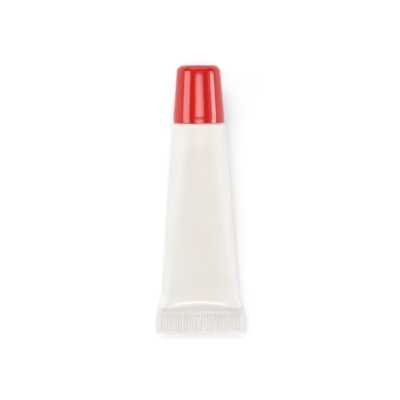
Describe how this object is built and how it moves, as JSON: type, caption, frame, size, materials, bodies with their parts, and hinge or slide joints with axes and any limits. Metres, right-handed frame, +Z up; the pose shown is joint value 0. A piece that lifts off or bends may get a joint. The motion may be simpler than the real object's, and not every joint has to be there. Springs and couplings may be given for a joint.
{
  "type": "lip balm tube",
  "caption": "Soft squeeze tube for lip balm, round at the shoulder and folded flat to a ribbed crimp, with a slanted tip under a tapered screw cap.",
  "frame": {"origin": "on the floor, under the middle of the tube's bounding box as it lies at rest", "axes": "+Y along the tube from the crimp towards the cap, +Z up, +X across the crimp"},
  "size_m": [0.0256, 0.0758, 0.0164],
  "materials": {
    "sleeve": "satin extruded polyethylene film, off-white",
    "head": "moulded polyethylene, off-white",
    "cap": "glossy moulded polypropylene, red",
    "balm": "soft translucent balm"
  },
  "bodies": {
    "tube": {"tube_sleeve": "sleeve", "tube_head": "head", "lip_balm": "balm"},
    "cap": {"screw_cap": "cap"}
  },
  "joints": [
    {"name": "cap_lift", "type": "slide", "parent": "tube", "child": "cap", "axis": [0, 0.9931, 0.1176], "range_m": [0, 0.02]}
  ]
}
